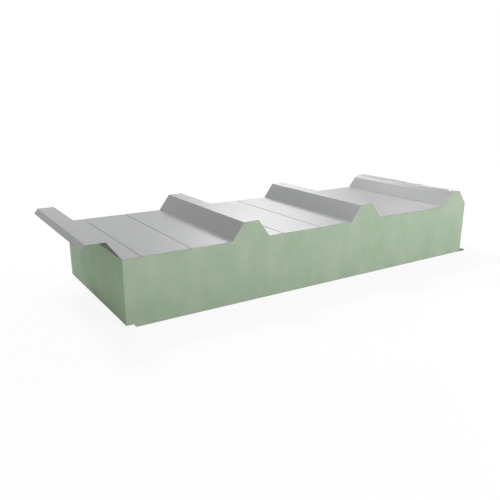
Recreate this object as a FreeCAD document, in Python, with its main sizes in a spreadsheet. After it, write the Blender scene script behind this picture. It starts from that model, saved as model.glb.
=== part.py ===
"""Insulated roof panel: a ribbed weather sheet, a rigid foam core and a flat liner sheet.

The three pieces share one cross-section, drawn in the XZ plane and run along Y. The origin is the
centre of the cover width and of the length, on the underside of the liner. The weather sheet's first
rib is hollow and laps over the last rib of the panel to its left. The liner's folded lip, on the
right, goes into the rebate under the left edge of the next panel.
"""

import FreeCAD, Part
import math
import os
import Sketcher

# Driving dimensions: alias, value in millimetres, meaning. The two counts say so.
DIMENSIONS = [
    ("cover_width", 1000, "width that one laid panel covers"),
    ("panel_length", 373, "length along the ribs"),
    ("flat_height", 140, "underside of the liner to the top of the flats"),
    ("outer_gauge", 0.5, "thickness of the weather sheet"),
    ("liner_gauge", 0.4, "thickness of the liner"),
    ("rib_spaces", 3, "count: rib spacings in one cover width"),
    ("rib_height", 38, "flat to crown"),
    ("rib_base", 94, "width of a rib at the flat"),
    ("rib_crown", 37, "width of a rib's crown"),
    ("rib_bend", 1.5, "bends of the weather sheet, radius on its top face"),
    ("lap_leg", 11, "height of the free leg of the hollow rib"),
    ("lap_clearance", 0.5, "play between a rib and the hollow rib laid over it"),
    ("chamfer_drop", 7, "height of the last rib's chamfer"),
    ("chamfer_inset", 8, "part of the last rib's crown that the chamfer takes"),
    ("grooved_flats", 2, "count: flats with stiffening grooves, from the hollow rib on"),
    ("groove_width", 3.5, "width of a groove"),
    ("groove_depth", 1, "depth of a groove"),
    ("groove_start", 85, "middle of a rib to the first groove on its right"),
    ("groove_spacing", 105.5, "first groove to the second"),
    ("rebate_width", 20, "width of the step under the left edge"),
    ("rebate_rise", 6.5, "height of the step under the left edge"),
    ("rebate_run", 4, "run of the step's sloping wall"),
    ("rebate_bend", 1, "bends of the step, radius on the liner's outer face"),
    ("lip_reach", 18, "lip beyond the cover width"),
    ("lip_height", 4, "height of the folded lip"),
    ("lip_bend", 1.5, "bends of the folded lip, radius on its outer face"),
    ("lip_anchor", 6, "length of the lip's edge that is held in the foam"),
]
SHEET_NAME = "dimensions"


class Size:
    """A length worked out from cells of the sheet: its number now, and the expression behind it."""

    def __init__(self, number, text):
        self.number = number
        self.text = text

    def __add__(self, other):
        other = as_size(other)
        return Size(self.number + other.number, f"({self.text} + {other.text})")

    def __sub__(self, other):
        other = as_size(other)
        return Size(self.number - other.number, f"({self.text} - {other.text})")

    def __mul__(self, other):
        other = as_size(other)
        return Size(self.number * other.number, f"({self.text} * {other.text})")

    def __truediv__(self, other):
        other = as_size(other)
        return Size(self.number / other.number, f"({self.text} / {other.text})")

    def __neg__(self):
        return Size(-self.number, f"(-{self.text})")


def as_size(value):
    return value if isinstance(value, Size) else Size(value, str(value))


class Corner:
    """A point of an outline in the XZ plane.

    It is sharp, or rounded to the radius bend. With groove, a width and a depth, the outline goes on
    from it along an arc instead of a straight run.
    """

    def __init__(self, x, z, bend=None, groove=None):
        self.x = as_size(x)
        self.z = as_size(z)
        self.bend = bend
        self.groove = groove

    def point(self):
        return FreeCAD.Vector(self.x.number, self.z.number, 0)


def make_dimensions(doc):
    """Write the driving dimensions to a spreadsheet, and return them by alias."""
    sheet = doc.addObject("Spreadsheet::Sheet", SHEET_NAME)
    sizes = {}
    for row, (alias, value, meaning) in enumerate(DIMENSIONS, start=1):
        sheet.set(f"A{row}", str(value))
        sheet.set(f"B{row}", meaning)
        sheet.setAlias(f"A{row}", alias)
        sizes[alias] = Size(float(value), f"{SHEET_NAME}.{alias}")
    doc.recompute()
    return sizes


# --- Cross-section: the corners of each outline ---------------------------------------------------


def nest_inset(sizes):
    """How far the last rib stands inside the hollow rib that is laid over it."""
    return sizes["outer_gauge"] + sizes["lap_clearance"]


def foam_side(sizes):
    """Right side of the foam, under the last rib's foot."""
    return sizes["cover_width"] / 2 - nest_inset(sizes)


def rib_slope(sizes):
    """Run of a rib's side for each millimetre of its height."""
    return (sizes["rib_base"] - sizes["rib_crown"]) / (sizes["rib_height"] * 2)


def rib_middle(sizes, number):
    """Middle of a rib; number 0 is the hollow one, whose right foot is on the foam's left edge."""
    first = -(sizes["cover_width"] + sizes["rib_base"]) / 2
    return first + sizes["cover_width"] / sizes["rib_spaces"] * number


def rib_corners(sizes, middle, inset=0):
    """Left foot, two crown corners and right foot of a rib; the inset draws all four inwards."""
    half_base = sizes["rib_base"] / 2 - inset
    half_crown = sizes["rib_crown"] / 2 - inset
    foot = sizes["flat_height"]
    crown = foot + sizes["rib_height"] - inset
    bend = sizes["rib_bend"]
    return [
        Corner(middle - half_base, foot, bend),
        Corner(middle - half_crown, crown, bend),
        Corner(middle + half_crown, crown, bend),
        Corner(middle + half_base, foot, bend),
    ]


def groove_corners(sizes, rib):
    """The two grooves in the flat to the right of a rib."""
    half_width = sizes["groove_width"] / 2
    shape = sizes["groove_width"], sizes["groove_depth"]
    corners = []
    for offset in (sizes["groove_start"], sizes["groove_start"] + sizes["groove_spacing"]):
        middle = rib + offset
        corners.append(Corner(middle - half_width, sizes["flat_height"], groove=shape))
        corners.append(Corner(middle + half_width, sizes["flat_height"]))
    return corners


def hollow_rib_corners(sizes):
    """The hollow rib: its left side stops at a short free leg."""
    _, crown, far_crown, far_foot = rib_corners(sizes, rib_middle(sizes, 0))
    leg = sizes["lap_leg"]
    return [Corner(crown.x - rib_slope(sizes) * leg, crown.z - leg), crown, far_crown, far_foot]


def flat_and_rib_corners(sizes):
    """From the flat beside the hollow rib to the last rib, which is chamfered and fits under a lap."""
    spaces = round(sizes["rib_spaces"].number)
    grooved = round(sizes["grooved_flats"].number)
    corners = []
    for number in range(spaces):
        if number > 0:
            corners += rib_corners(sizes, rib_middle(sizes, number))
        if number < grooved:
            corners += groove_corners(sizes, rib_middle(sizes, number))
    foot, crown, far_crown, far_foot = rib_corners(sizes, rib_middle(sizes, spaces), nest_inset(sizes))
    drop = sizes["chamfer_drop"]
    bend = sizes["rib_bend"]
    chamfer = [
        Corner(crown.x - rib_slope(sizes) * drop, crown.z - drop, bend),
        Corner(crown.x + sizes["chamfer_inset"], crown.z, bend),
    ]
    return corners + [foot] + chamfer + [far_crown, Corner(far_foot.x, far_foot.z)]


def rebate_corners(sizes):
    """Underside of the liner at the left edge: the step that takes the next panel's lip."""
    left = -sizes["cover_width"] / 2
    wall = left + sizes["rebate_width"]
    bend = sizes["rebate_bend"]
    return [
        Corner(left, sizes["rebate_rise"]),
        Corner(wall - sizes["rebate_run"], sizes["rebate_rise"], bend),
        Corner(wall, 0, bend),
    ]


def lip_corners(sizes):
    """Outer face of the liner's right edge: out to the lip's tip and back over itself into the foam."""
    tip = sizes["cover_width"] / 2 + sizes["lip_reach"]
    bend = sizes["lip_bend"]
    return [
        Corner(tip, 0, bend),
        Corner(tip, sizes["lip_height"], bend),
        Corner(foam_side(sizes) - sizes["lip_anchor"], sizes["lip_height"]),
    ]


def body_corners(sizes):
    """Outline of the panel's body, sheets included, from its left edge to the foam's right side."""
    left_top = Corner(-sizes["cover_width"] / 2, sizes["flat_height"])
    right_bottom = Corner(foam_side(sizes), 0)
    underside = rebate_corners(sizes)[::-1]
    return [left_top] + flat_and_rib_corners(sizes) + [right_bottom] + underside


# --- Sketches: each corner, bend and groove is tied to the sheet ----------------------------------


def bend_points(before, corner, after):
    """Three points of the arc that rounds a corner: its start, middle and end."""
    apex = corner.point()
    back = (before.point() - apex).normalize()
    ahead = (after.point() - apex).normalize()
    half_angle = back.getAngle(ahead) / 2
    radius = corner.bend.number
    setback = radius / math.tan(half_angle)
    depth = radius / math.sin(half_angle) - radius
    inwards = (back + ahead).normalize()
    return apex + back * setback, apex + inwards * depth, apex + ahead * setback


class Outline:
    """Draws corners in a sketch as an open or closed outline."""

    def __init__(self, sketch, corners, closed):
        self.sketch = sketch
        self.corners = corners
        self.closed = closed
        self.constraints = []
        self.expressions = []

    def draw(self):
        count = len(self.corners)
        joints = range(count) if self.closed else range(1, count - 1)
        bends = {index: self.bend_at(index) for index in joints if self.corners[index].bend}
        runs = []
        for index in range(count if self.closed else count - 1):
            following = (index + 1) % count
            start = bends[index][2] if index in bends else self.corners[index].point()
            end = bends[following][0] if following in bends else self.corners[following].point()
            runs.append(self.draw_run(self.corners[index].groove, start, end))
        for index in joints:
            if index in bends:
                self.join_by_bend(self.corners[index], runs[index - 1], runs[index], bends[index])
            else:
                self.join_sharp(self.corners[index], runs[index - 1], runs[index])
        if not self.closed:
            self.pin_end(self.corners[0], runs[0])
            self.pin_end(self.corners[-1], runs[-1])
        self.sketch.addConstraint(self.constraints)
        for number, text in self.expressions:
            self.sketch.setExpression(f"Constraints[{number}]", text)

    def bend_at(self, index):
        following = (index + 1) % len(self.corners)
        return bend_points(self.corners[index - 1], self.corners[index], self.corners[following])

    def constrain(self, *constraint):
        self.constraints.append(Sketcher.Constraint(*constraint))

    def constrain_size(self, kind, *where, size):
        self.expressions.append((len(self.constraints), size.text))
        self.constrain(kind, *where, size.number)

    def pin(self, corner, element, position):
        """Hold a point of the sketch at a corner, measured from the sketch's origin."""
        self.constrain_size("DistanceX", -1, 1, element, position, size=corner.x)
        self.constrain_size("DistanceY", -1, 1, element, position, size=corner.z)

    def pin_end(self, corner, run):
        self.pin(corner, run, self.end_at(run, corner.point()))

    def end_at(self, element, point):
        """The end of a run or arc, 1 or 2, that is nearer to a point."""
        gaps = [(self.sketch.getPoint(element, end) - point).Length for end in (1, 2)]
        return 1 if gaps[0] < gaps[1] else 2

    def draw_run(self, groove, start, end):
        """A straight run, or the arc of a groove."""
        if groove is None:
            return self.sketch.addGeometry(Part.LineSegment(start, end), False)
        width, depth = groove
        bottom = (start + end) / 2 - FreeCAD.Vector(0, depth.number, 0)
        arc = self.sketch.addGeometry(Part.Arc(start, bottom, end), False)
        self.constrain_size("Radius", arc, size=(width * width / 4 + depth * depth) / (depth * 2))
        return arc

    def join_sharp(self, corner, before, after):
        point = corner.point()
        self.constrain("Coincident", before, self.end_at(before, point), after, self.end_at(after, point))
        self.pin_end(corner, before)

    def join_by_bend(self, corner, before, after, points):
        """Round a corner with an arc tangent to both runs, and keep the corner as a point on both."""
        start, middle, end = points
        arc = self.sketch.addGeometry(Part.Arc(start, middle, end), False)
        apex = self.sketch.addGeometry(Part.Point(corner.point()), True)
        self.constrain("Tangent", before, self.end_at(before, start), arc, self.end_at(arc, start))
        self.constrain("Tangent", arc, self.end_at(arc, end), after, self.end_at(after, end))
        self.constrain_size("Radius", arc, size=corner.bend)
        self.constrain("PointOnObject", apex, 1, before)
        self.constrain("PointOnObject", apex, 1, after)
        self.pin(corner, apex, 1)


def make_outline(doc, name, corners, closed=False):
    """A sketch in the XZ plane that runs through the corners."""
    sketch = doc.addObject("Sketcher::SketchObject", name)
    upright = FreeCAD.Rotation(FreeCAD.Vector(1, 0, 0), 90)
    sketch.Placement = FreeCAD.Placement(FreeCAD.Vector(0, 0, 0), upright)
    Outline(sketch, corners, closed).draw()
    return sketch


# --- The three pieces -----------------------------------------------------------------------------


def run_along_ribs(doc, name, section, sizes):
    """A section run along Y over the panel's length, half each way from the XZ plane."""
    solid = doc.addObject("Part::Extrusion", name)
    solid.Base = section
    solid.DirMode = "Custom"
    solid.Dir = FreeCAD.Vector(0, 1, 0)
    solid.Symmetric = True
    solid.Solid = True
    solid.setExpression("LengthFwd", sizes["panel_length"].text)
    return solid


def make_folded_sheet(doc, name, outer_face, offset, sizes):
    """A folded sheet of one thickness: its outer face's outline, offset, filled and run along Y."""
    section = doc.addObject("Part::Offset2D", f"{name}_section")
    section.Source = outer_face
    section.Mode = "Skin"
    section.Join = "Intersection"
    section.Fill = True
    section.setExpression("Value", offset.text)
    return run_along_ribs(doc, name, section, sizes)


def make_outer_sheet(doc, sizes):
    corners = hollow_rib_corners(sizes) + flat_and_rib_corners(sizes)
    face = make_outline(doc, "weather_face", corners)
    return make_folded_sheet(doc, "outer_sheet", face, -sizes["outer_gauge"], sizes)


def make_inner_sheet(doc, sizes):
    face = make_outline(doc, "liner_face", rebate_corners(sizes) + lip_corners(sizes))
    return make_folded_sheet(doc, "inner_sheet", face, sizes["liner_gauge"], sizes)


def make_foam_core(doc, sizes, outer_sheet, inner_sheet):
    """The foam fills the body between the sheets, and so meets both of them face to face."""
    outline = make_outline(doc, "body_outline", body_corners(sizes), closed=True)
    under_weather_sheet = doc.addObject("Part::Cut", "under_weather_sheet")
    under_weather_sheet.Base = run_along_ribs(doc, "panel_body", outline, sizes)
    under_weather_sheet.Tool = outer_sheet
    foam = doc.addObject("Part::Cut", "foam_core")
    foam.Base = under_weather_sheet
    foam.Tool = inner_sheet
    return foam


def check_and_export(doc, pieces):
    """Stop on any failed object or bad solid, and otherwise write each piece to its own file."""
    for item in doc.Objects:
        if "Invalid" in item.State or "Error" in item.State:
            raise RuntimeError(f"{item.Name} failed: {item.State}")
    for piece in pieces:
        shape = piece.Shape
        if shape.isNull() or not shape.isValid() or len(shape.Solids) != 1:
            raise RuntimeError(f"{piece.Label} is not one valid solid")
    os.makedirs("parts", exist_ok=True)
    for piece in pieces:
        piece.Shape.exportStep(f"parts/{piece.Label}.step")
        box = piece.Shape.BoundBox
        print(f"{piece.Label}: {piece.Shape.Volume / 1000:.1f} cm3, "
              f"{box.XLength:.2f} x {box.YLength:.2f} x {box.ZLength:.2f} mm")


def main():
    doc = FreeCAD.newDocument("InsulatedPanel")
    sizes = make_dimensions(doc)
    outer_sheet = make_outer_sheet(doc, sizes)
    inner_sheet = make_inner_sheet(doc, sizes)
    foam_core = make_foam_core(doc, sizes, outer_sheet, inner_sheet)
    doc.recompute()
    check_and_export(doc, [outer_sheet, inner_sheet, foam_core])


main()
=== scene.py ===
"""Looks for a short length of insulated roof panel: coated steel sheets on a rigid foam core."""

import math

import bpy
from mathutils import Euler, Matrix, Vector


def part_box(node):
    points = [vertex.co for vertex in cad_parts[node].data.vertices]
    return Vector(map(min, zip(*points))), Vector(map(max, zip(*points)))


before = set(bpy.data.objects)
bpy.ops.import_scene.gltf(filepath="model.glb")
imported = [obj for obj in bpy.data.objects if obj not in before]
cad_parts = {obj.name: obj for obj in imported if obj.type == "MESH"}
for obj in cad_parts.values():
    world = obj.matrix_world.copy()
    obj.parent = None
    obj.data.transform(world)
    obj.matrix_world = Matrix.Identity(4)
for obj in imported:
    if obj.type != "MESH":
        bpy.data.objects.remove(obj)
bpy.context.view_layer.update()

MM = 0.001


# --- Nodes ----------------------------------------------------------------------------------------


def linear(hex_code):
    """An sRGB hex colour as linear RGBA."""
    channels = [int(hex_code[start:start + 2], 16) / 255 for start in (1, 3, 5)]
    return (*[c / 12.92 if c <= 0.04045 else ((c + 0.055) / 1.055) ** 2.4 for c in channels], 1.0)


def add_node(tree, kind, inputs=None, **properties):
    """Add a node with its properties; each input is a value, or an output socket to link from."""
    made = tree.nodes.new(kind)
    for name, value in properties.items():
        setattr(made, name, value)
    for key, value in (inputs or {}).items():
        if isinstance(value, bpy.types.NodeSocket):
            tree.links.new(value, made.inputs[key])
        else:
            made.inputs[key].default_value = value
    return made


def new_material(name):
    """An empty material, its node tree, and the place of each point on the panel."""
    material = bpy.data.materials.new(name)
    material.use_nodes = True
    tree = material.node_tree
    tree.nodes.clear()
    return material, tree, add_node(tree, "ShaderNodeTexCoord").outputs["Object"]


# --- Finishes -------------------------------------------------------------------------------------


def polyester_topcoat(name, light, dark):
    """Silver-grey polyester, roll coated on the flat coil and baked, before the ribs are formed.

    It gives an even, half-gloss grey. Close by it has the faint orange peel of a roll coat, and the
    forming rolls leave streaks along the ribs where the gloss is a little higher or lower. A darker
    copy of it goes on the grooves' faces: painted shade, so that the grooves read as dark lines.
    """
    material, tree, where = new_material(name)
    along_ribs = add_node(tree, "ShaderNodeMapping", {"Vector": where, "Scale": (1, 0.03, 1)})
    streak = add_node(tree, "ShaderNodeTexNoise", {
        "Vector": along_ribs.outputs[0], "Scale": 1 / (5 * MM), "Detail": 3.0})
    patch = add_node(tree, "ShaderNodeTexNoise", {
        "Vector": where, "Scale": 1 / (180 * MM), "Detail": 2.0})
    peel = add_node(tree, "ShaderNodeTexNoise", {
        "Vector": where, "Scale": 1 / (2.5 * MM), "Detail": 2.0})
    shade = add_node(tree, "ShaderNodeMix", {
        "Factor": patch.outputs["Fac"], "A": linear(dark), "B": linear(light)}, data_type="RGBA")
    gloss = add_node(tree, "ShaderNodeMapRange", {
        "Value": streak.outputs["Fac"], "From Min": 0.3, "From Max": 0.7,
        "To Min": 0.405, "To Max": 0.435})
    bump = add_node(tree, "ShaderNodeBump", {
        "Height": peel.outputs["Fac"], "Strength": 0.2, "Distance": 0.03 * MM})
    coat = add_node(tree, "ShaderNodeBsdfPrincipled", {
        "Base Color": shade.outputs["Result"], "Roughness": gloss.outputs[0],
        "Normal": bump.outputs["Normal"]})
    add_node(tree, "ShaderNodeOutputMaterial", {"Surface": coat.outputs["BSDF"]})
    return material


def backing_coat_painted_shade():
    """Thin epoxy rolled on the sheet's underside at 7 microns: matt, a little cloudy, and darkened
    as painted shade under the lap rib.
    """
    material, tree, where = new_material("backing_coat_painted_shade")
    cloud = add_node(tree, "ShaderNodeTexNoise", {
        "Vector": where, "Scale": 1 / (30 * MM), "Detail": 4.0})
    # Dark greys: the coat's own tone, darkened as painted shade for the hollow under the lap rib.
    shade = add_node(tree, "ShaderNodeMix", {
        "Factor": cloud.outputs["Fac"], "A": linear("#44453f"), "B": linear("#51524b")},
        data_type="RGBA")
    coat = add_node(tree, "ShaderNodeBsdfPrincipled", {
        "Base Color": shade.outputs["Result"], "Roughness": 0.7})
    add_node(tree, "ShaderNodeOutputMaterial", {"Surface": coat.outputs["BSDF"]})
    return material


def sheared_steel_and_painted_shade():
    """Bare edge of galvanised steel, cut with the panel: dull grey metal with fine drag lines,
    partly darkened as painted shade.
    """
    material, tree, where = new_material("sheared_galvanised_steel_and_painted_shade")
    drag = add_node(tree, "ShaderNodeTexNoise", {
        "Vector": where, "Scale": 1 / (0.8 * MM), "Detail": 2.0})
    bump = add_node(tree, "ShaderNodeBump", {
        "Height": drag.outputs["Fac"], "Strength": 0.4, "Distance": 0.05 * MM})
    # The dark grey is partly the steel's own tone and partly painted shade for the thin dark line
    # at the cut edges.
    steel = add_node(tree, "ShaderNodeBsdfPrincipled", {
        "Base Color": linear("#7d7d7b"), "Metallic": 1.0, "Roughness": 0.5,
        "Normal": bump.outputs["Normal"]})
    add_node(tree, "ShaderNodeOutputMaterial", {"Surface": steel.outputs["BSDF"]})
    return material


def polyurethane_foam(name, light, dark, saw_depth, roughness):
    """Rigid polyurethane foam: matt pale green, clouded where it flowed upwards as it rose.

    Its cells are under 0.5 mm, too fine to show, so they are drawn at 1.6 mm. A sawn face has
    open cells and the upright lines of the saw; a face moulded against the line's sides has a
    closed skin.
    """
    material, tree, where = new_material(name)
    rise = add_node(tree, "ShaderNodeMapping", {"Vector": where, "Scale": (1, 1, 0.6)})
    cloud = add_node(tree, "ShaderNodeTexNoise", {
        "Vector": rise.outputs[0], "Scale": 1 / (48 * MM), "Detail": 4.0, "Roughness": 0.6})
    cloudy = add_node(tree, "ShaderNodeMapRange", {
        "Value": cloud.outputs["Fac"], "From Min": 0.3, "From Max": 0.7})
    cells = add_node(tree, "ShaderNodeTexVoronoi", {"Vector": where, "Scale": 1 / (1.6 * MM)})
    upright = add_node(tree, "ShaderNodeMapping", {"Vector": where, "Scale": (1, 1, 0.02)})
    saw = add_node(tree, "ShaderNodeTexNoise", {
        "Vector": upright.outputs[0], "Scale": 1 / (3 * MM)})
    shade = add_node(tree, "ShaderNodeMix", {
        "Factor": cloudy.outputs[0], "A": linear(dark), "B": linear(light)}, data_type="RGBA")
    sawn = add_node(tree, "ShaderNodeBump", {
        "Height": saw.outputs["Fac"], "Strength": 0.3, "Distance": saw_depth})
    open_cells = add_node(tree, "ShaderNodeBump", {
        "Height": cells.outputs["Distance"], "Strength": 0.3, "Distance": 2 * saw_depth,
        "Normal": sawn.outputs["Normal"]})
    body = add_node(tree, "ShaderNodeBsdfPrincipled", {
        "Base Color": shade.outputs["Result"], "Roughness": roughness,
        "Normal": open_cells.outputs["Normal"]})
    add_node(tree, "ShaderNodeOutputMaterial", {"Surface": body.outputs["BSDF"]})
    return material


def shown_white(tree):
    """1 for the rays that show the white studio: seen, mirrored, or through something."""
    path = add_node(tree, "ShaderNodeLightPath")
    mirrored = add_node(tree, "ShaderNodeMath", {
        0: path.outputs["Is Glossy Ray"], 1: path.outputs["Is Transmission Ray"]},
        operation="MAXIMUM")
    return add_node(tree, "ShaderNodeMath", {
        0: path.outputs["Is Camera Ray"], 1: mirrored.outputs[0]}, operation="MAXIMUM").outputs[0]


def floor_paint():
    """Matt white studio floor: a light shadow round the panel, and plain white further out."""
    material, tree, where = new_material("white_studio_floor")
    away = add_node(tree, "ShaderNodeVectorMath", {0: where}, operation="LENGTH")
    share = add_node(tree, "ShaderNodeMapRange", {
        "Value": away.outputs["Value"], "From Min": 0.7, "From Max": 1.8,
        "To Min": 0.9, "To Max": 1.0})
    shown = add_node(tree, "ShaderNodeMath", {
        0: shown_white(tree), 1: share.outputs[0]}, operation="MULTIPLY")
    paint = add_node(tree, "ShaderNodeBsdfDiffuse", {"Color": (0.95, 0.95, 0.95, 1.0)})
    glow = add_node(tree, "ShaderNodeEmission", {"Strength": 1.0})
    mix = add_node(tree, "ShaderNodeMixShader", {
        0: shown.outputs[0], 1: paint.outputs[0], 2: glow.outputs[0]})
    add_node(tree, "ShaderNodeOutputMaterial", {"Surface": mix.outputs[0]})
    return material


# --- Which finish lies on which face --------------------------------------------------------------


# The flats lie 1.5 mm above the bottom of the weather sheet's box, and the grooves' faces lower.
GROOVE_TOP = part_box("outer_sheet")[0][2] + 1.3 * MM


def is_cut_end(face):
    """Whether a face looks along the ribs, as only the sawn and sheared ends do."""
    return abs(face.normal.y) > 0.9


def outer_sheet_finish(face):
    """0 topcoat, 1 backing coat, 2 bare edge, 3 darker topcoat in the grooves as painted shade."""
    if is_cut_end(face) or abs(face.normal.z) < 0.05:
        return 2
    if face.normal.z < 0:
        return 1
    # Faces below GROOVE_TOP get the darker topcoat copy: painted shade in the grooves.
    return 3 if face.center.z < GROOVE_TOP else 0


def inner_sheet_finish(face):
    """0 coat, 1 bare edge."""
    return 1 if is_cut_end(face) else 0


def foam_finish(face):
    """0 sawn, 1 moulded."""
    return 0 if is_cut_end(face) else 1


def dress(node_name, finishes, finish_of):
    """Give a CAD node its finishes, each on the faces that finish_of picks for it."""
    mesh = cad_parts[node_name].data
    mesh.materials.clear()
    for material in finishes:
        mesh.materials.append(material)
    for face in mesh.polygons:
        face.material_index = finish_of(face)


# --- Studio ---------------------------------------------------------------------------------------

FLOOR_HALF = 30.0
FLOOR_DROP = 0.2 * MM  # keeps the floor clear of the liner's underside
STUDIO_LIGHT = 0.40
SENSOR_WIDTH = 36.0
FOCAL_LENGTH = 39.55
CAMERA_PLACE = (-828.3 * MM, -1135.1 * MM, 443.8 * MM)
CAMERA_TURN = math.radians(32.79)
CAMERA_TILT = math.radians(16.24)
CAMERA_ROLL = math.radians(0.11)


def make_camera():
    data = bpy.data.cameras.new("camera")
    data.lens = FOCAL_LENGTH
    data.sensor_width = SENSOR_WIDTH
    camera = bpy.data.objects.new("camera", data)
    camera.location = CAMERA_PLACE
    aim = Euler((math.pi / 2 - CAMERA_TILT, 0, -CAMERA_TURN)).to_matrix()
    camera.rotation_euler = (aim @ Matrix.Rotation(CAMERA_ROLL, 3, "Z")).to_euler()
    bpy.context.scene.collection.objects.link(camera)
    bpy.context.scene.camera = camera


def make_floor():
    mesh = bpy.data.meshes.new("floor")
    corners = [(x * FLOOR_HALF, y * FLOOR_HALF, 0) for x, y in ((-1, -1), (1, -1), (1, 1), (-1, 1))]
    mesh.from_pydata(corners, [], [(0, 1, 2, 3)])
    mesh.materials.append(floor_paint())
    floor = bpy.data.objects.new("floor", mesh)
    floor.location.z = -FLOOR_DROP
    bpy.context.scene.collection.objects.link(floor)


def make_lamp(name, azimuth, elevation, distance, width, height, power, shadow=True, glare=True):
    """A round soft box aimed at the panel.

    Azimuth is in degrees from +Y towards +X; distance and sizes are in metres, power in watts.
    Without shadow its light is not stopped, and without glare no gloss mirrors it.
    """
    data = bpy.data.lights.new(name, "AREA")
    data.shape = "ELLIPSE"
    data.size = width
    data.size_y = height
    data.energy = power
    data.use_shadow = shadow
    data.cycles.use_multiple_importance_sampling = shadow
    lamp = bpy.data.objects.new(name, data)
    lamp.visible_glossy = glare
    turn, rise = math.radians(azimuth), math.radians(elevation)
    level = math.cos(rise)
    away = Vector((math.sin(turn) * level, math.cos(turn) * level, math.sin(rise)))
    lamp.location = away * distance
    lamp.rotation_euler = away.to_track_quat("Z", "Y").to_euler()
    bpy.context.scene.collection.objects.link(lamp)


def make_world():
    """Even light from all round, which shows as plain white."""
    world = bpy.data.worlds.new("studio")
    world.use_nodes = True
    tree = world.node_tree
    tree.nodes.clear()
    dim = add_node(tree, "ShaderNodeBackground", {
        "Strength": STUDIO_LIGHT, "Color": (1, 1, 1, 1)})
    white = add_node(tree, "ShaderNodeBackground", {"Strength": 1.0, "Color": (1, 1, 1, 1)})
    mix = add_node(tree, "ShaderNodeMixShader", {
        0: shown_white(tree), 1: dim.outputs[0], 2: white.outputs[0]})
    add_node(tree, "ShaderNodeOutputWorld", {"Surface": mix.outputs[0]})
    bpy.context.scene.world = world


def dress_panel():
    steel = sheared_steel_and_painted_shade()
    topcoat = polyester_topcoat("polyester_coil_topcoat", "#919292", "#8b8b8c")
    # A darker copy of the topcoat: painted shade on the grooves' faces.
    groove_shade_topcoat = polyester_topcoat("polyester_topcoat_painted_groove_shade", "#7b7c7b", "#767676")
    sawn = polyurethane_foam("sawn_polyurethane_foam", "#abb9a6", "#9bb096", 0.15 * MM, 0.95)
    moulded = polyurethane_foam("moulded_polyurethane_foam", "#a4ba9d", "#97b290", 0.04 * MM, 0.8)
    dress("outer_sheet", [topcoat, backing_coat_painted_shade(), steel, groove_shade_topcoat], outer_sheet_finish)
    dress("inner_sheet", [topcoat, steel], inner_sheet_finish)
    dress("foam_core", [sawn, moulded], foam_finish)


def light_studio():
    make_floor()
    make_world()
    # Near, so that the sawn end brightens towards it; its glare would whiten the flats from behind.
    make_lamp("front", 160, 15, 2.2, 0.8, 0.8, 19.3, glare=False)
    make_lamp("over", 342, 50, 4.0, 0.9, 0.9, 80.5)
    make_lamp("back", 34, 32, 4.0, 1.2, 0.85, 48.2)
    # So low that a rib's shadow would cover the flat beside it.
    make_lamp("graze", 58, 14, 4.0, 1.0, 1.0, 6.8, shadow=False)


dress_panel()
light_studio()
make_camera()
bpy.context.scene.view_settings.view_transform = "Standard"
